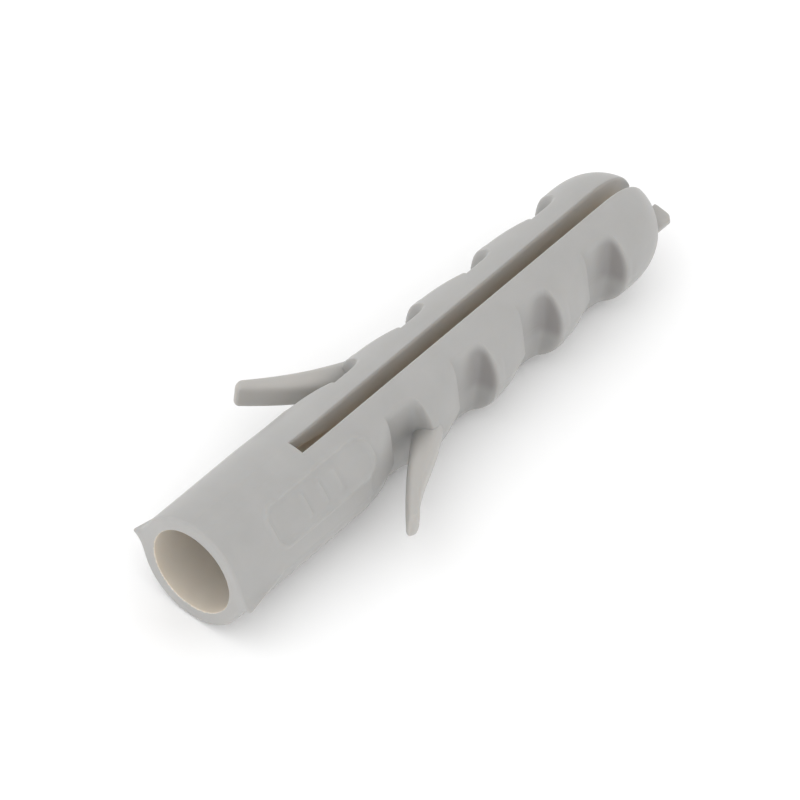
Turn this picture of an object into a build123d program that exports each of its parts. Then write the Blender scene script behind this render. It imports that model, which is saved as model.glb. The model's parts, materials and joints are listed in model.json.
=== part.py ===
from build123d import *
import os

# Expansion wall plug for an 8 mm drilled hole, 40 mm long, moulded in grey nylon.
# It is one moulding that bends at four thin places. Each place is modelled as a round
# hinge about the vertical axis, so the plug is five solids: the neck sleeve, two legs
# and two barbs. Units are millimetres.
# Origin: centre of the mouth. +X runs from the mouth to the tip, +Z goes up through the
# slit, and the legs and barbs lie to the left (+Y) and right (-Y) of the slit.

# Neck sleeve
plug_length = 40.0
neck_radius = 3.7
neck_length = 8.6
sleeve_wall = 0.9
mouth_edge_round = 0.2

# Ears: two thin fins beside the mouth that stop the plug turning
ear_reach = 0.75
ear_length = 3.2
ear_thickness = 0.5
ear_tip_flat = 0.15
ear_tip_slope = 0.6

# Legs: a hair slimmer than the neck, with a channel that keeps a wall below the pockets
leg_step = 0.08
slit_width = 0.96
screw_channel_wall = 0.45
screw_channel_throat = 5.0
tip_channel_radius = 1.05

# Teeth: crowns that taper towards the tip, each ending in a crisp rim above a pocket
tooth_pitch = 5.85
first_rim_from_neck = 5.65
rim_drop = 0.62
crown_middle_drop = 0.17
pocket_depth = 1.67
pocket_floor_length = 1.65
pocket_length = 3.3
flank_shoulder = 0.54

# Rounded nose, and two flat corner fins that stand past it to the very tip
nose_length = 4.9
nose_setback = 0.6
nose_shoulder_drop = 0.27
nose_end_radius = 1.3
nose_end_slope = 0.45
tip_fin_reach = 2.5
tip_fin_length = 1.6
tip_fin_thickness = 0.5
tip_fin_chamfer = 0.3

# Leg hinges, in the middle of the sleeve's side walls at the root of the slit
leg_gap = 0.05
leg_hinge_skin = 0.11
leg_knuckle_height = 1.2
running_clearance = 0.02
end_clearance = 0.03

# Barbs: two springy arms that leave the first pocket and point back to the mouth
barb_hinge_past_rim = 1.45
barb_hinge_standoff = 0.13
barb_knuckle_radius = 0.55
barb_length = 5.4
barb_end_thickness = 0.8
barb_bow = 0.3
barb_height = 1.8
barb_left_splay = 38.5
barb_right_splay = 35.5
barb_fold = 24.0

# Root lug that carries each barb
lug_width = 1.5
lug_length = 2.6
lug_swing_margin = 18.0

# How far cutting shapes run past the surface they cut, and the slack in counting pockets
cut_margin = 1.0
count_slack = 0.01

# Radii and distances from the axis that follow from the sizes above
bore_radius = neck_radius - sleeve_wall
leg_radius = neck_radius - leg_step
rim_half_width = leg_radius - rim_drop
pocket_floor = leg_radius - pocket_depth
screw_channel_radius = pocket_floor - screw_channel_wall
leg_hinge_y = neck_radius - sleeve_wall / 2
leg_knuckle_radius = sleeve_wall / 2 - leg_hinge_skin
barb_hinge_y = leg_radius + barb_hinge_standoff
outside = neck_radius + cut_margin

# Stations along the plug: as many pockets as fit between the first rim and the nose
leg_start = neck_length + leg_gap
first_rim = neck_length + first_rim_from_neck
nose_start = plug_length - nose_length
teeth_room = nose_start - pocket_length - first_rim
pocket_count = 1 + int((teeth_room + count_slack) / tooth_pitch)
rims = [first_rim + number * tooth_pitch for number in range(pocket_count)]
crown_taper_length = tooth_pitch - pocket_length
barb_hinge_x = first_rim + barb_hinge_past_rim

os.makedirs("parts", exist_ok=True)


def barb_plane(splay):
    """Frame of a left-hand barb: x runs along the arm to its end, y points to the leg."""
    along = Vector(-1, 0, 0).rotate(Axis.Z, -splay)
    return Plane(origin=(barb_hinge_x, barb_hinge_y, 0), x_dir=along, z_dir=(0, 0, 1))


def crown_section(station, half_width):
    """Ellipse across the plug: full radius at the slit, half_width at the sides."""
    with BuildSketch(Plane.YZ.offset(station)) as section:
        Ellipse(half_width, leg_radius)
    return section.sketch


# Neck sleeve: a plain tube with a softened mouth edge, an ear on each side and two
# hinge sockets in its end
with BuildPart() as neck_sleeve:
    with BuildSketch(Plane.YZ):
        Circle(neck_radius)
    extrude(amount=neck_length)
    mouth_edge = neck_sleeve.edges().sort_by(Axis.X)[0]
    fillet(mouth_edge, mouth_edge_round)
    ear_root = neck_radius - mouth_edge_round
    ear_tip = neck_radius + ear_reach
    with BuildSketch(Plane.XY):
        with BuildLine():
            Polyline((ear_length, neck_radius), (ear_length, ear_root), (0, ear_root), (0, ear_tip))
            Line((0, ear_tip), (ear_tip_flat, ear_tip))
            Spline(
                (ear_tip_flat, ear_tip),
                (ear_length, neck_radius),
                tangents=((1, -ear_tip_slope), (1, 0)),
            )
        make_face()
        mirror(about=Plane.XZ)
    extrude(amount=ear_thickness / 2, both=True)
    with BuildSketch(Plane.YZ):
        Circle(bore_radius)
    extrude(amount=neck_length, mode=Mode.SUBTRACT)
    with Locations((neck_length, leg_hinge_y, 0), (neck_length, -leg_hinge_y, 0)):
        Cylinder(
            leg_knuckle_radius + running_clearance,
            leg_knuckle_height + 2 * end_clearance,
            mode=Mode.SUBTRACT,
        )
neck_sleeve.part.label = "neck_sleeve"
export_step(neck_sleeve.part, "parts/neck_sleeve.step")


def make_leg(splay):
    """Left-hand leg, with its lug cut for a barb at the given splay angle."""
    with BuildPart() as leg:
        # Round envelope: a plain length, then a pocket length and a crown for each tooth
        crown_starts = [first_rim - crown_taper_length]
        crown_starts += [rim + pocket_length for rim in rims[:-1]]
        plain_starts = [leg_start] + rims
        plain_ends = crown_starts + [nose_start]
        for start, end in zip(plain_starts, plain_ends):
            with BuildSketch(Plane.YZ.offset(start)):
                Circle(leg_radius)
            extrude(amount=end - start)
        for start, rim in zip(crown_starts, rims):
            middle = (start + rim) / 2
            sections = [
                crown_section(start, leg_radius),
                crown_section(middle, leg_radius - crown_middle_drop),
                crown_section(rim, rim_half_width),
            ]
            loft(sections=sections, ruled=True)
        with BuildSketch(Plane.XY):
            with BuildLine():
                nose_end = plug_length - nose_setback
                Line((nose_start, leg_radius), (nose_start, 0))
                Line((nose_start, 0), (nose_end, 0))
                Line((nose_end, 0), (nose_end, nose_end_radius))
                Spline(
                    (nose_end, nose_end_radius),
                    ((nose_start + nose_end) / 2, leg_radius - nose_shoulder_drop),
                    (nose_start, leg_radius),
                    tangents=((-nose_end_slope, 1), (-1, 0)),
                )
            make_face()
        revolve(axis=Axis.X)

        # Saw-toothed outline seen from above, cut straight down through the envelope
        with BuildSketch(Plane.XY):
            with BuildLine():
                Polyline((leg_start, outside), (leg_start, slit_width / 2), (plug_length, slit_width / 2))
                Line((plug_length, slit_width / 2), (plug_length, outside))
                ahead = plug_length
                for rim in reversed(rims):
                    crown_start = rim + pocket_length
                    floor_end = rim + pocket_floor_length
                    shoulder_x = crown_start - flank_shoulder
                    shoulder_y = leg_radius - flank_shoulder
                    Line((ahead, outside), (crown_start, outside))
                    Line((crown_start, outside), (crown_start, leg_radius))
                    RadiusArc((crown_start, leg_radius), (shoulder_x, shoulder_y), flank_shoulder)
                    Spline(
                        (shoulder_x, shoulder_y),
                        (floor_end, pocket_floor),
                        tangents=((0, -1), (-1, 0)),
                    )
                    Line((floor_end, pocket_floor), (rim, pocket_floor))
                    Line((rim, pocket_floor), (rim, outside))
                    ahead = rim
                Line((ahead, outside), (leg_start, outside))
            make_face()
        extrude(amount=outside, both=True, mode=Mode.INTERSECT)

        # Flat corner fin at the tip
        with BuildSketch(Plane.XY):
            with Locations((plug_length, slit_width / 2)):
                Rectangle(tip_fin_length, tip_fin_reach - slit_width / 2, align=(Align.MAX, Align.MIN))
            outer_corner = vertices().sort_by(Axis.Y)[-2:].sort_by(Axis.X)[-1]
            chamfer(outer_corner, tip_fin_chamfer)
        extrude(amount=tip_fin_thickness / 2, both=True)

        # Root lug of the barb, from the crown beyond the pocket out to the barb's hinge
        with BuildSketch(barb_plane(splay)) as lug:
            Rectangle(lug_length, lug_width, align=(Align.MAX, Align.CENTER))
            with Locations((0, lug_width / 2)):
                Rectangle(
                    lug_length,
                    2 * lug_width,
                    rotation=-(barb_fold + lug_swing_margin),
                    align=(Align.MIN, Align.CENTER),
                    mode=Mode.SUBTRACT,
                )
        extrude(amount=barb_height / 2, both=True)

        # Screw channel: the bore narrows at the throat and runs out through the tip
        with BuildSketch(Plane.XY):
            throat_end = neck_length + screw_channel_throat
            Polygon(
                (neck_length, 0),
                (neck_length, bore_radius),
                (leg_start, bore_radius),
                (throat_end, screw_channel_radius),
                (plug_length, tip_channel_radius),
                (plug_length, 0),
                align=None,
            )
        revolve(axis=Axis.X, mode=Mode.SUBTRACT)

        # Seat for the barb's knuckle, and the knuckle that sits in the neck sleeve
        with Locations((barb_hinge_x, barb_hinge_y, 0)):
            Cylinder(barb_knuckle_radius + running_clearance, 2 * outside, mode=Mode.SUBTRACT)
        with Locations((neck_length, leg_hinge_y, 0)):
            Cylinder(leg_knuckle_radius, leg_knuckle_height)
    return leg.part


def make_barb(splay):
    """Left-hand barb: a bowed arm that thins to a round end, on a round knuckle."""
    with BuildPart() as barb:
        with BuildSketch(barb_plane(splay)):
            half_end = barb_end_thickness / 2
            straight = barb_length - half_end
            half_middle = (barb_knuckle_radius + half_end) / 2
            Circle(barb_knuckle_radius)
            with BuildLine():
                ThreePointArc(
                    (0, barb_knuckle_radius),
                    (straight / 2, half_middle + barb_bow),
                    (straight, half_end),
                )
                ThreePointArc((straight, half_end), (barb_length, 0), (straight, -half_end))
                ThreePointArc(
                    (straight, -half_end),
                    (straight / 2, -half_middle + barb_bow),
                    (0, -barb_knuckle_radius),
                )
                Line((0, -barb_knuckle_radius), (0, barb_knuckle_radius))
            make_face()
        extrude(amount=barb_height / 2, both=True)
    return barb.part


# Left leg and barb
with BuildPart() as leg_left:
    add(make_leg(barb_left_splay))
leg_left.part.label = "leg_left"
export_step(leg_left.part, "parts/leg_left.step")

with BuildPart() as barb_left:
    add(make_barb(barb_left_splay))
barb_left.part.label = "barb_left"
export_step(barb_left.part, "parts/barb_left.step")

# Right leg and barb: the same shapes across the slit, with the right-hand splay
with BuildPart() as leg_right:
    add(mirror(make_leg(barb_right_splay), about=Plane.XZ))
leg_right.part.label = "leg_right"
export_step(leg_right.part, "parts/leg_right.step")

with BuildPart() as barb_right:
    add(mirror(make_barb(barb_right_splay), about=Plane.XZ))
barb_right.part.label = "barb_right"
export_step(barb_right.part, "parts/barb_right.step")
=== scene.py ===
import json
import math

import bmesh
import bpy
import numpy as np
from mathutils import Matrix, Vector


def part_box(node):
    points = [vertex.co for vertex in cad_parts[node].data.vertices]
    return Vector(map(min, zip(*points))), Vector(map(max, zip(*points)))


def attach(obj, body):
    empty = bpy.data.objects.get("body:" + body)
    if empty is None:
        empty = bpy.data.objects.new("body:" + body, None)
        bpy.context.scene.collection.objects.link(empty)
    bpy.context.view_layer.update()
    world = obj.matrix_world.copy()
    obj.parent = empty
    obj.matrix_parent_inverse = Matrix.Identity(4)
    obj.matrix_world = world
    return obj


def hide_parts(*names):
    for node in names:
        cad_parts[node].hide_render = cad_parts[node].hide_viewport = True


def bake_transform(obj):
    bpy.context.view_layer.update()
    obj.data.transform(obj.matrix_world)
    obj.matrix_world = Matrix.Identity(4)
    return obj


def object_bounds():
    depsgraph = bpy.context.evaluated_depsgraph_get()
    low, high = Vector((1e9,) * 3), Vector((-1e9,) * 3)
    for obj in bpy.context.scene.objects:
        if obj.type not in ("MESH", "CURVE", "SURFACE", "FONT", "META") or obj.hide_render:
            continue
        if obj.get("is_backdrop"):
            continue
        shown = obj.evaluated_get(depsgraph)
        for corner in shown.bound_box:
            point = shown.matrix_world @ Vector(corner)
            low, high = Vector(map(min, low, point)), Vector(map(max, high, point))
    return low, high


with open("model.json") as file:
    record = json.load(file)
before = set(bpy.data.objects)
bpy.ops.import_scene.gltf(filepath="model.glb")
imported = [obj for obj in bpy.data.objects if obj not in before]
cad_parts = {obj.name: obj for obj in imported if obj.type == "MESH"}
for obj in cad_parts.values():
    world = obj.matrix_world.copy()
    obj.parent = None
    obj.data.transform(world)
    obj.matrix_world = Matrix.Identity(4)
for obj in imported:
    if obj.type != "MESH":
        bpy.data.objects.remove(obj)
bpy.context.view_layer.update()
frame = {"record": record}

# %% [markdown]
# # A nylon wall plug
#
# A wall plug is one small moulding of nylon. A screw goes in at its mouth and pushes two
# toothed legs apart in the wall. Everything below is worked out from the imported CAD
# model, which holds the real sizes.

MM = 0.001

# %% [markdown]
# ## Sizes
#
# The main sizes of the sleeve and the legs are measured on the CAD nodes or read from
# the record's mounts and joints. Neither of them says where the teeth are, so the teeth's
# places are given again here, with the shapes that the CAD model simplifies.

# %% Sizes read from the frame
sleeve_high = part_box("neck_sleeve")[1]
leg_low, leg_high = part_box("leg_left")
mounts = {mount["name"]: mount for mount in frame["record"]["mounts"]}
joints = {joint["name"]: joint for joint in frame["record"]["behaviour"]["joints"]}

neck_length = joints["leg_left_spread"]["pos_m"][0]
plug_length = leg_high[0]
fin_stand_out = 0.6 * MM
nose_end = plug_length - fin_stand_out
neck_radius = sleeve_high[2]
slit_half = leg_low[1]
leg_radius = math.hypot(leg_high[2], slit_half)
bore_radius = mounts["screw_bore"]["dims"]["r_mm"] * MM
ear_tip = sleeve_high[1]
print("neck", neck_length / MM, "plug", plug_length / MM, "slit", 2 * slit_half / MM)

# %% Sizes of the teeth
first_rim = 14.25 * MM
tooth_pitch = 5.85 * MM
tooth_count = 4
rims = first_rim + tooth_pitch * np.arange(tooth_count)
crown_taper = 2.55 * MM
rim_half_width = 2.97 * MM
pocket_floor = 2.1 * MM
crown_draft = 0.23
pocket_draft = 0.03
ramp_start = 1.2 * MM
ramp_length = 1.4 * MM
ramp_height = 0.3 * MM
wall_place = 2.64 * MM
wall_height = 1.4 * MM
wall_softness = 0.13 * MM
wall_corner = 0.5 * MM
pocket_length = 3.3 * MM
nose_start = rims[-1] + pocket_length
nose_fullness = 0.93
nose_powers = (2.6, 1.7)
neck_blend = 4.0 * MM
channel_throat = 1.5 * MM
channel_tip = 1.05 * MM
throat_depth = 5.0 * MM

# A station this close behind a rim still belongs to the crown before it.
hair = 1e-9
print("crisp rims at", np.round(rims / MM, 2))

# %% [markdown]
# ## From a grid to a mesh
#
# Every piece here is a few grids of points that meet along their edges. A grid is an
# array of rows, columns and three coordinates. The helper numbers the points, makes a
# face from each cell, welds the grids where they meet, and turns all faces outwards.

# %% Grid helpers
def smooth_step(value):
    """0 below 0, 1 above 1, and a smooth S between: 3 t squared minus 2 t cubed."""
    t = np.clip(value, 0.0, 1.0)
    return t * t * (3.0 - 2.0 * t)


def soft_min(first, second, width):
    """The smaller of two heights. Where they differ by less than width, the corner is rounded."""
    near = np.clip(1.0 - np.abs(first - second) / width, 0.0, 1.0)
    return np.minimum(first, second) - near * near * width / 4.0


def between(first, last, steps):
    """Grid from one row of points to another: first times (1 - share) plus last times share."""
    share = np.linspace(0.0, 1.0, steps + 1)[:, None, None]
    return first * (1.0 - share) + last * share


def closed_ends(skin):
    """The skin of an arm with a flat end cap on its first and its last ring."""
    rings = (skin[0], skin[-1])
    return [skin] + [between(ring, ring[:-1].mean(axis=0), 3) for ring in rings]


def rounded_ring(around, power):
    """Cosine and sine of the turn, each with its size raised to a power: a rounded rectangle."""
    turn = np.linspace(0, 2 * math.pi, around + 1)
    waves = (np.cos(turn), np.sin(turn))
    return [np.sign(wave) * np.abs(wave) ** power for wave in waves]


def vertex_places(piece):
    """The places of a piece's vertices, one row each."""
    places = np.empty(len(piece.data.vertices) * 3, dtype=np.float32)
    piece.data.vertices.foreach_get("co", places)
    return places.reshape(-1, 3)


def round_drop(distance, radius):
    """How far a quarter round lies below its corner: radius minus the circle's height there."""
    inward = np.clip(radius - distance, 0, radius)
    return radius - np.sqrt(np.clip(radius**2 - inward**2, 0, None))


def grid_faces(rows, columns, first):
    """Vertex numbers of the cells of a rows by columns grid whose first vertex is first."""
    number = first + np.arange(rows * columns).reshape(rows, columns)
    corners = (number[:-1, :-1], number[:-1, 1:], number[1:, 1:], number[1:, :-1])
    return np.stack([corner.ravel() for corner in corners], axis=1)


def mesh_piece(name, grids, sharp_degrees=38.0, weld=0.4e-6):
    """One closed object from grids of points that share their edges."""
    points, faces, count = [], [], 0
    for grid in grids:
        rows, columns = grid.shape[:2]
        faces.append(grid_faces(rows, columns, count))
        points.append(grid.reshape(-1, 3))
        count += rows * columns
    mesh = bpy.data.meshes.new(name)
    mesh.from_pydata(np.concatenate(points).tolist(), [], np.concatenate(faces).tolist())
    work = bmesh.new()
    work.from_mesh(mesh)
    bmesh.ops.remove_doubles(work, verts=work.verts, dist=weld)
    bmesh.ops.dissolve_degenerate(work, edges=work.edges, dist=weld)
    bmesh.ops.recalc_face_normals(work, faces=work.faces)
    open_edges = sum(1 for edge in work.edges if not edge.is_manifold)
    work.to_mesh(mesh)
    work.free()
    mesh.polygons.foreach_set("use_smooth", np.ones(len(mesh.polygons), dtype=bool))
    mesh.set_sharp_from_angle(angle=math.radians(sharp_degrees))
    piece = bpy.data.objects.new(name, mesh)
    bpy.context.scene.collection.objects.link(piece)
    print(f"{name}: {len(mesh.polygons)} faces, {open_edges} open edges")
    return piece


# %% [markdown]
# ## The outside of the moulding
#
# In a round moulding the outside is a radius that depends on the station along the plug
# and on the angle from the slit. The neck is a plain cylinder. Each crown keeps its full
# height beside the slit but gets narrower towards the tip, so its section turns from a
# circle into an ellipse. A pocket is a flat floor, cut straight down beside the slit and
# slightly slanted so that the moulding leaves its tool. Where two of these meet, the
# smaller one wins, with a soft corner.

# %% Outline of the crowns and pockets
def body_radius(x):
    """Radius before the teeth are cut: the neck, slightly slimmer legs, and a blunt nose."""
    step = smooth_step((x - neck_length) / neck_blend + 0.5)
    radius = neck_radius + (leg_radius - neck_radius) * step
    nose = np.clip((x - nose_start) / (nose_end - nose_start), 0.0, 1.0)
    blunt = (1.0 - (nose_fullness * nose) ** nose_powers[0]) ** (1 / nose_powers[1])
    return radius * blunt


def crown_half_width(behind):
    """Half-width before a rim: it falls along a bend over the taper and ends at the rim's width."""
    along = np.clip(1.0 + behind / crown_taper, 0.0, 1.0)
    start = 1.04 * leg_radius
    return start - (start - rim_half_width) * along**1.5


def pocket_half_width(behind):
    """Half-width behind a rim: a flat floor, a gentle ramp, and a wall shaped like half a tanh."""
    ramp = ramp_height * np.clip((behind - ramp_start) / ramp_length, 0.0, 1.0) ** 3
    wall = wall_height * (0.5 + 0.5 * np.tanh((behind - wall_place) / wall_softness))
    return pocket_floor + ramp + wall


def side_half_width(x):
    """Half-width at mid height of the saw-toothed sides, seen from above."""
    width = np.full_like(x, 2.0 * neck_radius)
    for rim in rims:
        behind = x - rim
        before = (behind <= hair) & (behind > -crown_taper)
        width = np.where(before, np.minimum(width, crown_half_width(behind)), width)
        inside = (behind > hair) & (behind < pocket_length)
        width = np.where(inside, np.minimum(width, pocket_half_width(behind)), width)
    return width


def side_draft(x):
    """Slant of the side: slight on a pocket's floor and clear on a crown."""
    behind = x[..., None] - rims
    in_pocket = np.any((behind > hair) & (behind < pocket_length), axis=-1)
    return np.where(in_pocket, pocket_draft, crown_draft)


def outer_radius(x, angle):
    """Radius at station x and angle from the slit: the smaller of the round and the sawn side.

    A side plane at half-width w with draft d lies at radius w over (sine plus d times cosine).
    """
    side, up = np.abs(np.sin(angle)), np.abs(np.cos(angle))
    plane = side_half_width(x) / (side + side_draft(x) * up)
    return soft_min(body_radius(x), plane, wall_corner)


# %% [markdown]
# Two tool halves close along the middle of each side, and a blade forms the slit. Both
# leave a hair-fine raised line on the moulding. They are far too fine to feel but they
# catch the light, so they are part of the shape.

# %% Witness lines of the mould
line_half_width = 0.07 * MM
parting_height = 0.012 * MM
blade_height = 0.01 * MM
blade_run_out = 0.3 * MM


def raised_line(distance, width, height):
    """A bell-shaped ridge: height times e to the minus of distance over width, squared."""
    return height * np.exp(-((distance / width) ** 2))


def witness_lines(x, angle):
    """Parting lines on both sides, and the blade's edge lines that run on along the neck."""
    y = neck_radius * np.sin(angle)
    z = neck_radius * np.cos(angle)
    parting = raised_line(z, line_half_width, parting_height)
    beside = np.abs(np.abs(y) - slit_half)
    on_neck = 1.0 - smooth_step((x - neck_length) / blade_run_out + 1.0)
    blade = raised_line(beside, line_half_width, blade_height) * on_neck
    return parting + blade


# %% [markdown]
# ## Ears
#
# Two pointed ears at the mouth stop the plug from turning in its hole. An ear is a ridge
# with a sharp crest and hollow sides. It stands highest at the mouth and runs out
# straight along the neck.

# %% Ears
ear_length = 3.8 * MM
ear_width = math.radians(6)


def ears(x, angle):
    """Height of both ears: it falls off like e to the minus of the angle from the side."""
    from_side = np.arccos(np.clip(np.abs(np.sin(angle)), 0, 1))
    along = np.clip(1.0 - x / ear_length, 0.0, 1.0)
    return (ear_tip - neck_radius) * along * np.exp(-from_side / ear_width)


# %% [markdown]
# ## A plain size mark
#
# Plugs carry a small raised mark on the neck. Here it is a blank rounded frame with three
# bars in it, with lines as thin and as low as a mould engraver cuts them.

# %% Raised mark
mark_middle = (8.0 * MM, math.radians(47))
mark_half = (4.3 * MM, 1.3 * MM)
mark_line = 0.17 * MM
mark_height = 0.13 * MM
mark_corner = 0.9 * MM
bar_places = np.array([-1.4, 0.0, 1.4]) * MM
bar_half_length = 0.6 * MM


def mark_relief(x, angle):
    """Height of the mark: a ridge where the distance to a rounded frame or to a bar is small."""
    along = x - mark_middle[0]
    across = (angle - mark_middle[1]) * neck_radius
    over_x = np.abs(along) - (mark_half[0] - mark_corner)
    over_y = np.abs(across) - (mark_half[1] - mark_corner)
    outside = np.hypot(np.maximum(over_x, 0), np.maximum(over_y, 0))
    frame_distance = outside + np.minimum(np.maximum(over_x, over_y), 0) - mark_corner
    relief = raised_line(frame_distance, mark_line, mark_height)
    beyond = np.maximum(np.abs(across) - bar_half_length, 0)
    for place in bar_places:
        bar = np.hypot(along - place, beyond)
        relief = np.maximum(relief, raised_line(bar, mark_line, mark_height))
    return relief


def skin_radius(x, angle):
    """The outside with its fine relief. angle is 0 at the slit's top and grows to the right."""
    fine = witness_lines(x, angle) + mark_relief(x, angle)
    return outer_radius(x, angle) + ears(x, angle) + fine


def on_skin(x, angle, radius):
    """Points at a radius: the height is radius times cosine, the right-hand side is minus y."""
    return np.stack([x, -radius * np.sin(angle), radius * np.cos(angle)], axis=-1)


# %% [markdown]
# ## Neck sleeve
#
# The sleeve is a tube, so it is made as one profile round its wall, turned about the
# axis: along the outside, over the end at the slit, back through the bore, and over the
# flat ring at the mouth. The mouth's outer edge is softened and the bore's edge is crisp.

# %% Neck sleeve
mouth_round = 0.22 * MM
bore_flare = 0.05 * MM
neck_step = 0.1 * MM


def neck_sleeve_grids(turns=600):
    """Outside, end face, bore and mouth ring as grids over station and angle."""
    angle = np.linspace(-math.pi, math.pi, turns + 1)
    bend = np.linspace(0.0, math.pi / 2, 7)
    round_line = mouth_round * (1.0 - np.sin(bend))[::-1]
    even_line = np.arange(mouth_round, neck_length, neck_step)
    x_line = np.concatenate([round_line[:-1], even_line, [neck_length]])
    x, turn = np.meshgrid(x_line, angle, indexing="ij")
    outside = on_skin(x, turn, skin_radius(x, turn) - round_drop(x, mouth_round))
    edge_line = [0.0, 0.4 * bore_flare, bore_flare]
    bore_line = np.concatenate([edge_line, np.linspace(0.4 * MM, neck_length, 24)])
    x, turn = np.meshgrid(bore_line, angle, indexing="ij")
    flare = np.clip(bore_flare - x, 0, None)
    inside = on_skin(x, turn, bore_radius + flare)
    mouth = between(outside[0], inside[0], 8)
    end = between(outside[-1], inside[-1], 8)
    return [outside, inside, mouth, end]


neck_sleeve_skin = mesh_piece("neck_sleeve_skin", neck_sleeve_grids())
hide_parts("neck_sleeve")
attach(neck_sleeve_skin, "sleeve")
skins = {"neck_sleeve": neck_sleeve_skin}

# %% [markdown]
# ## Legs
#
# A leg is half of the toothed tube. It is easiest to see as a bent brick: one direction
# runs along the plug, one round the half circle, and one through the wall from the
# outside to the screw channel. Its six sides are six grids. Stations are closer together
# at the rims, where the surface turns sharply.

# %% Stations and channel
leg_step = 0.15 * MM
slit_round = 0.15 * MM


def leg_stations():
    """Stations along a leg at even steps, with extra ones at each rim and each upright flank."""
    even = np.arange(neck_length, nose_end, leg_step)
    rim_steps = np.array([-0.03, -0.01, 0.0, 0.01, 0.04]) * MM
    flank_steps = wall_place + np.arange(-0.32, 0.34, 0.03) * MM
    near = (rims[:, None] + np.concatenate([rim_steps, flank_steps])[None, :]).ravel()
    nose = nose_end - np.array([0.35, 0.25, 0.15, 0.08, 0.03, 0.0]) * MM
    return np.unique(np.round(np.concatenate([even, near, nose]), 8))


def channel_radius(x):
    """Screw channel: the bore narrows to its throat and then runs on to the tip."""
    stations = [neck_length, neck_length + throat_depth, nose_end]
    return np.interp(x, stations, [bore_radius, channel_throat, channel_tip])


# %% Legs
def half_round(side, share, radius):
    """Angles of a half circle from the slit's top to its bottom, at the given share of the way."""
    start = np.arcsin(slit_half / radius)
    return -side * (start + share * (math.pi - 2 * start))


def leg_grids(side, turns=120, depth=14):
    """The six sides of a leg. side is 1 for the left leg and -1 for the right."""
    even = np.linspace(0, 1, turns + 1)
    share = 0.65 * even + 0.35 * (0.5 - 0.5 * np.cos(math.pi * even))
    x, share = np.meshgrid(leg_stations(), share, indexing="ij")
    angle = half_round(side, share, body_radius(x))
    outside = on_skin(x, angle, skin_radius(x, angle))
    sink = round_drop(np.abs(outside[..., 1]) - slit_half, slit_round)
    outside[..., 2] -= np.sign(outside[..., 2]) * sink
    radius = channel_radius(x)
    inside = on_skin(x, half_round(side, share, radius), radius)
    for surface in (outside, inside):
        surface[:, [0, -1], 1] = side * slit_half
    thinnest = (np.hypot(outside[..., 1], outside[..., 2]) - radius).min()
    print("thinnest wall of the leg in mm:", round(float(thinnest / MM), 2))
    slit_sides = [between(outside[:, edge], inside[:, edge], depth) for edge in (0, -1)]
    ends = [between(outside[end], inside[end], depth) for end in (0, -1)]
    return [outside, inside] + slit_sides + ends


for name, side in (("left", 1), ("right", -1)):
    leg = mesh_piece(f"leg_{name}_skin", leg_grids(side))
    hinge = joints[f"leg_{name}_spread"]["pos_m"]
    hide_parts(f"leg_{name}")
    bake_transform(leg)
    skins[f"leg_{name}"] = leg

# %% [markdown]
# ## Barbs
#
# A barb is a springy arm. Seen from above it has two edges, and both are gentle curves.
# The outer edge leaves the crown behind it almost in line. The inner edge starts deep in
# the pocket's corner, so the root is a thick web and the arm gets thinner towards its
# rounded end. Sections between the two edges are rounded rectangles.

# %% Barbs
barb_half_height = 0.9 * MM
barb_end_round = 0.42 * MM
barb_root = 1.6 * MM
barb_taper = 0.06

# The outer and the inner edge of each barb: four weights, then where it starts and ends, in mm.
barb_edges = {
    "left": (((1.07, 0.58, 0.033, 0.0), -3.0, 3.2), ((-0.78, 0.70, 0.048, 0.0), -1.5, 3.95)),
    "right": (((0.95, 0.440, -0.014, 0.013), -3.0, 3.75), ((-0.83, 0.66, 0.030, 0.0), -1.5, 4.5)),
}


def barb_edge(edge, share):
    """An edge seen from above: outward is a cubic polynomial of the distance towards the mouth.

    Both are in millimetres from the barb's hinge. share runs from 0 at the root to 1 at the end.
    """
    weights, first, last = edge
    toward_mouth = first + (last - first) * share
    outward = np.polyval(weights[::-1], toward_mouth)
    return np.stack([toward_mouth, outward], axis=-1) * MM


def barb_grids(side, hinge, edges, around=64):
    """Sections along the arm: its middle plus half its width times a rounded rectangle.

    At the end the width and the height fall like the cosine of an angle that runs to 82 degrees.
    """
    share = np.linspace(0, 1, 90)
    outer, inner = (barb_edge(edge, share) for edge in edges)
    middle, half = (outer + inner) / 2, (outer - inner) / 2
    ahead = (middle[-1] - middle[-2]) / np.linalg.norm(middle[-1] - middle[-2])
    cap = np.radians(np.linspace(0, 82, 12))[1:, None]
    middle = np.concatenate([middle, middle[-1] + barb_end_round * np.sin(cap) * ahead])
    half = np.concatenate([half, half[-1] * np.cos(cap) ** 0.8])
    arm_height = 1 - barb_taper * share[:, None]
    cap_height = (1 - barb_taper) * (0.55 + 0.45 * np.cos(cap))
    height = np.concatenate([arm_height, cap_height])
    root = smooth_step((barb_root / 2 - middle[:, :1]) / (1.5 * barb_root))
    flat, tall = rounded_ring(around, 0.55 + 0.35 * root)
    plan = middle[:, None] + half[:, None] * flat[..., None]
    z = barb_half_height * height * tall * (1 + 0.45 * root * flat)
    skin = np.stack([hinge[0] - plan[..., 0], hinge[1] + side * plan[..., 1], z], axis=-1)
    return closed_ends(skin)


for name, side in (("left", 1), ("right", -1)):
    hinge = joints[f"barb_{name}_fold"]["pos_m"]
    barb = mesh_piece(f"barb_{name}_skin", barb_grids(side, hinge, barb_edges[name]))
    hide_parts(f"barb_{name}")
    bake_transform(barb)
    skins[f"barb_{name}"] = barb

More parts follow.
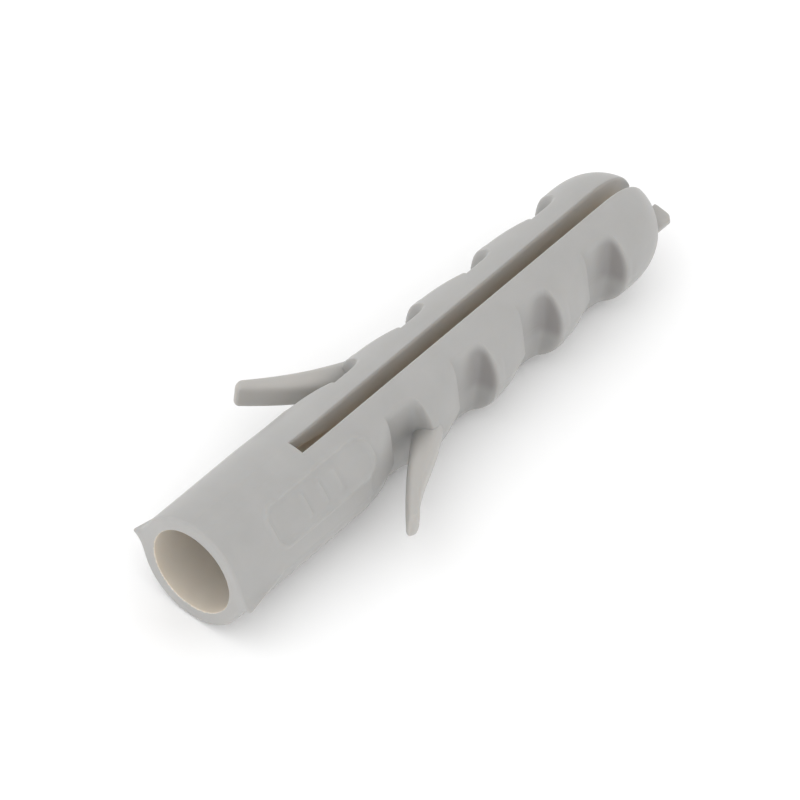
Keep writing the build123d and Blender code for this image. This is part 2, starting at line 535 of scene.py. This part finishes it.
# %% [markdown]
# ## Tip fins
#
# At the tip a thin flat fin stands out of each leg in the mould's parting plane. It runs
# from the screw channel to a clipped outer corner and gets thinner outwards. It is a
# rounded plate section carried along the plug, and its start is buried in the nose.

# %% Tip fins
fin_reach = 2.5 * MM
fin_half_thickness = 0.27 * MM
fin_corner = 0.3 * MM
fin_buried = 1.6 * MM
fin_round = 0.07 * MM
fin_end_inset = 0.05 * MM


def tip_fin_grids(side, around=48):
    """Sections along a fin: a rounded rectangle from the channel wall to the fin's reach."""
    long_part = np.linspace(nose_end - fin_buried, plug_length - fin_corner - 0.02 * MM, 12)
    corner_part = np.linspace(plug_length - fin_corner, plug_length, 14)
    stations = np.concatenate([long_part, corner_part])
    to_end = plug_length - stations
    soft = 1.0 - np.clip(1.0 - to_end / fin_round, 0, 1) ** 2
    reach = fin_reach - np.clip(fin_corner - to_end, 0, None)
    middle = (reach + channel_tip) / 2
    half = (reach - channel_tip) / 2 - fin_end_inset * (1.0 - soft)
    flat, tall = rounded_ring(around, 0.4)
    y = middle[:, None] + half[:, None] * flat
    thickness = fin_half_thickness * (0.8 + 0.2 * soft)[:, None] * (1.0 - 0.22 * flat)
    x = np.broadcast_to(stations[:, None], y.shape)
    return closed_ends(np.stack([x, side * y, thickness * tall], axis=-1))


for name, side in (("left", 1), ("right", -1)):
    fin = mesh_piece(f"tip_fin_{name}", tip_fin_grids(side))
    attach(fin, f"{name}_leg")
    skins[f"tip_fin_{name}"] = fin

# %% [markdown]
# ## Painted shade and depth
#
# Two numbers at each point change the nylon's colour, and both are paint. The first,
# wall_depth, rises down in the bore, the channel and the slit. It stands in for warm
# light that has come through the wall. The thin barbs and fins get a little of it, and so
# does a hair line along the right leg's edge of the slit. The second, corner, rises
# towards the flank wall of a pocket. It stands in for shade that this even studio light
# doesn't give, and why it is missing isn't known. It is full on the right leg and about a
# third on the left one, weaker below the middle and absent in the first pocket. Neither
# is a property of nylon, so set both to 0 before lighting the plug in another way.

# %% Painted numbers
near_wall = 0.02 * MM
open_end = 1.5 * MM
left_strength = 0.35
barb_warmth = 0.12
fin_warmth = 0.1
thin_reach = 2.0 * MM


def store_number(piece, name, values):
    """Stores one number for each point of a piece."""
    attribute = piece.data.attributes.new(name, "FLOAT", "POINT")
    attribute.data.foreach_set("value", values.astype(np.float32))


def painted_depth(x, y, z):
    """High in the bore, 1 in the channel, and in the slit a rise in two steps below its edge."""
    radius = np.hypot(y, z)
    in_bore = (radius < bore_radius + 0.03 * MM) & (x < neck_length)
    bore = in_bore * (0.5 + 0.4 * np.exp(-np.abs(x) / (0.6 * MM)))
    in_slit = (np.abs(y) < slit_half + near_wall) & (x > neck_length - near_wall)
    below = body_radius(x) - np.abs(z)
    first_step = 0.2 * smooth_step(below / (0.3 * MM))
    second_step = 0.5 * smooth_step((below - 0.4 * MM) / (1.6 * MM))
    slit = in_slit * (first_step + second_step)
    right_edge = raised_line(y + slit_half, 0.04 * MM, 0.4) * (x > neck_length)
    channel = (radius < channel_radius(x) + near_wall) & (x > neck_length)
    deepest = np.maximum.reduce([bore, slit, right_edge, channel])
    return deepest * smooth_step((nose_end - x) / open_end)


def painted_corner(x, y, z):
    """A rise from each rim to the next wall, where the surface is sunk below the round body."""
    from_rim = x - rims[:, None]
    behind = np.min(np.where(from_rim > 0, from_rim, 1.0), axis=0)
    toward_wall = smooth_step((behind - 0.8 * MM) / (2.0 * MM)) * (behind < pocket_length)
    sunk = smooth_step((body_radius(x) - np.hypot(y, z)) / (0.5 * MM)) * (np.abs(y) > 1.2 * MM)
    upper = 0.3 + 0.7 * smooth_step(z / (1.0 * MM) + 1.0)
    strength = np.where(y > 0, left_strength, 1.0) * (x > rims[1])
    return toward_wall * sunk * upper * strength


def paint_thin_arm(piece, root, warmth):
    """A thin arm or fin: 0 at its root, rising to its warmth at thin_reach from there."""
    away = np.linalg.norm(vertex_places(piece) - np.array(root), axis=1)
    store_number(piece, "wall_depth", warmth * smooth_step(away / thin_reach))


# %% Paint on each piece
for name in ("neck_sleeve", "leg_left", "leg_right"):
    x, y, z = vertex_places(skins[name]).T.astype(float)
    depth = painted_depth(x, y, z)
    store_number(skins[name], "wall_depth", depth)
    store_number(skins[name], "corner", painted_corner(x, y, z))
    print(f"{name}: mean depth {depth.mean():.2f}")

for name, side in (("left", 1), ("right", -1)):
    hinge = joints[f"barb_{name}_fold"]["pos_m"]
    barb_start = (hinge[0] + 1.5 * MM, hinge[1] - side * MM, 0)
    fin_start = (nose_end - 1.0 * MM, side * channel_tip, 0)
    paint_thin_arm(skins[f"barb_{name}"], barb_start, barb_warmth)
    paint_thin_arm(skins[f"tip_fin_{name}"], fin_start, fin_warmth)

# %% [markdown]
# ## Nylon
#
# The plug is polyamide, moulded in a spark-eroded tool. Light goes a little way into it,
# so thin walls look warm and the surface looks soft, and the tool's fine grain breaks up
# the highlights. Its refractive index is 1.53. The two painted numbers above are mixed
# in last.

# %% Colours and nodes
def linear(code):
    """A hex sRGB colour as linear RGBA, by the sRGB formula."""
    values = np.array([int(code[first : first + 2], 16) for first in (1, 3, 5)]) / 255
    curved = ((values + 0.055) / 1.055) ** 2.4
    return (*np.where(values <= 0.04045, values / 12.92, curved).tolist(), 1.0)


def add_node(tree, kind, inputs=(), **settings):
    """Adds a node. inputs maps a socket's name or number to a value or to another's output."""
    node = tree.nodes.new(kind)
    for key, value in settings.items():
        setattr(node, key, value)
    for key, value in dict(inputs).items():
        if isinstance(value, bpy.types.NodeSocket):
            tree.links.new(value, node.inputs[key])
        else:
            node.inputs[key].default_value = value
    return node


# %% Moulded nylon
cloud_size = 2.2 * MM
swell_size = 1.1 * MM
swell_depth = 0.05 * MM
grain_size = 0.16 * MM
grain_depth = 0.01 * MM
light_reach = 0.15 * MM


def moulded_nylon():
    """Light grey polyamide: mottled colour, fine tool grain, and soft light below the surface."""
    material = bpy.data.materials.new("grey_nylon_moulded")
    material.use_nodes = True
    tree = material.node_tree
    tree.nodes.clear()
    place = add_node(tree, "ShaderNodeTexCoord").outputs["Object"]
    cloud = add_node(
        tree,
        "ShaderNodeTexNoise",
        {"Vector": place, "Scale": 1 / cloud_size, "Detail": 3.0, "Roughness": 0.55},
    )
    swell = add_node(
        tree, "ShaderNodeTexNoise", {"Vector": place, "Scale": 1 / swell_size, "Detail": 1.0}
    )
    grain = add_node(
        tree, "ShaderNodeTexNoise", {"Vector": place, "Scale": 1 / grain_size, "Detail": 2.0}
    )
    colour = add_node(tree, "ShaderNodeValToRGB", {"Fac": cloud.outputs["Fac"]})
    dark, light = colour.color_ramp.elements
    dark.position, dark.color = 0.3, linear("#a3a2a0")
    light.position, light.color = 0.72, linear("#a8a7a5")
    corner = add_node(tree, "ShaderNodeAttribute", attribute_name="corner")
    shade = add_node(
        tree,
        "ShaderNodeMix",
        {0: corner.outputs["Fac"], 6: colour.outputs["Color"], 7: linear("#8c8987")},
        data_type="RGBA",
    )
    depth = add_node(tree, "ShaderNodeAttribute", attribute_name="wall_depth")
    tint = add_node(
        tree,
        "ShaderNodeMix",
        {0: depth.outputs["Fac"], 6: shade.outputs[2], 7: linear("#e4dacb")},
        data_type="RGBA",
    )
    gloss = add_node(
        tree,
        "ShaderNodeMapRange",
        {
            "Value": cloud.outputs["Fac"],
            "From Min": 0.3,
            "From Max": 0.7,
            "To Min": 0.42,
            "To Max": 0.52,
        },
    )
    low = add_node(
        tree,
        "ShaderNodeBump",
        {"Height": swell.outputs["Fac"], "Strength": 0.35, "Distance": swell_depth},
    )
    fine = add_node(
        tree,
        "ShaderNodeBump",
        {
            "Height": grain.outputs["Fac"],
            "Strength": 0.3,
            "Distance": grain_depth,
            "Normal": low.outputs["Normal"],
        },
    )
    shader = add_node(
        tree,
        "ShaderNodeBsdfPrincipled",
        {
            "Base Color": tint.outputs[2],
            "Roughness": gloss.outputs["Result"],
            "IOR": 1.53,
            "Normal": fine.outputs["Normal"],
            "Subsurface Weight": 0.5,
            "Subsurface Radius": (1.0, 0.75, 0.55),
            "Subsurface Scale": light_reach,
        },
    )
    add_node(tree, "ShaderNodeOutputMaterial", {"Surface": shader.outputs["BSDF"]})
    return material


nylon = moulded_nylon()
for piece in skins.values():
    piece.data.materials.append(nylon)

# %% [markdown]
# ## Camera
#
# A long lens from over two feet away shows the plug almost without perspective. The
# camera looks down on the mouth, the slit and the right-hand side, and it is turned a few
# degrees about its own axis.

# %% Camera
sensor_mm = 36.0
lens_mm = 507.2
camera_distance = 0.6465
camera_angles = (305.12, 48.70, 7.02)
target = Vector((18.12, -0.12, 0.0)) * MM


def camera_turn(azimuth, elevation, roll):
    """Camera axes: back along the line of sight, right and up, rolled about the line of sight."""
    a, e = math.radians(azimuth), math.radians(elevation)
    back = Vector((math.sin(a) * math.cos(e), -math.cos(a) * math.cos(e), math.sin(e)))
    right = Vector((math.cos(a), math.sin(a), 0.0))
    turn = Matrix.Rotation(math.radians(roll), 3, back)
    right = turn @ right
    up = back.cross(right)
    return Matrix((right, up, back)).transposed(), back


lens_data = bpy.data.cameras.new("camera")
lens_data.sensor_width = sensor_mm
lens_data.lens = lens_mm
lens_data.clip_start = 0.05
lens_data.clip_end = 10.0
camera = bpy.data.objects.new("camera", lens_data)
turn, back = camera_turn(*camera_angles)
camera.matrix_world = Matrix.Translation(target + camera_distance * back) @ turn.to_4x4()
bpy.context.scene.collection.objects.link(camera)
bpy.context.scene.camera = camera
print("camera at", [round(value, 4) for value in camera.location])

# %% [markdown]
# ## Floor and light
#
# The floor is a plain pale sheet. A bright, even world gives most of the light. One large
# soft lamp stands high on the left and another stands low in front.

# %% Floor
floor_half = 0.6
floor_gap = 0.02 * MM


def pale_floor():
    """A wide square sheet just below the plug."""
    height = min(point[2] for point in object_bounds()) - floor_gap
    points = [
        (side_x * floor_half, side_y * floor_half, height)
        for side_x, side_y in ((-1, -1), (1, -1), (1, 1), (-1, 1))
    ]
    mesh = bpy.data.meshes.new("floor")
    mesh.from_pydata(points, [], [(0, 1, 2, 3)])
    floor = bpy.data.objects.new("floor", mesh)
    bpy.context.scene.collection.objects.link(floor)
    paper = bpy.data.materials.new("white_paper")
    paper.use_nodes = True
    sockets = paper.node_tree.nodes["Principled BSDF"].inputs
    sockets["Base Color"].default_value = linear("#fcfcfc")
    sockets["Roughness"].default_value = 0.9
    mesh.materials.append(paper)
    floor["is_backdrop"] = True


pale_floor()


# %% Lamps
lamp_distance = 0.6
lamp_size = 0.5
lamps = {"key": (235, 55, 0.35), "front": (285, 15, 0.6)}


def soft_lamp(name, azimuth, elevation, watts):
    """A square lamp that looks at the plug from the given direction."""
    lamp = bpy.data.lights.new(name, "AREA")
    lamp.size = lamp_size
    lamp.energy = watts
    holder = bpy.data.objects.new(name, lamp)
    turn, back = camera_turn(azimuth, elevation, 0)
    holder.matrix_world = Matrix.Translation(target + lamp_distance * back) @ turn.to_4x4()
    bpy.context.scene.collection.objects.link(holder)


for name, (azimuth, elevation, watts) in lamps.items():
    soft_lamp(name, azimuth, elevation, watts)

# %% World
world = bpy.data.worlds.new("studio")
bpy.context.scene.world = world
world.use_nodes = True
sky = world.node_tree.nodes["Background"].inputs
sky["Color"].default_value = linear("#ffffff")
sky["Strength"].default_value = 1.08
bpy.context.scene.view_settings.view_transform = "Standard"
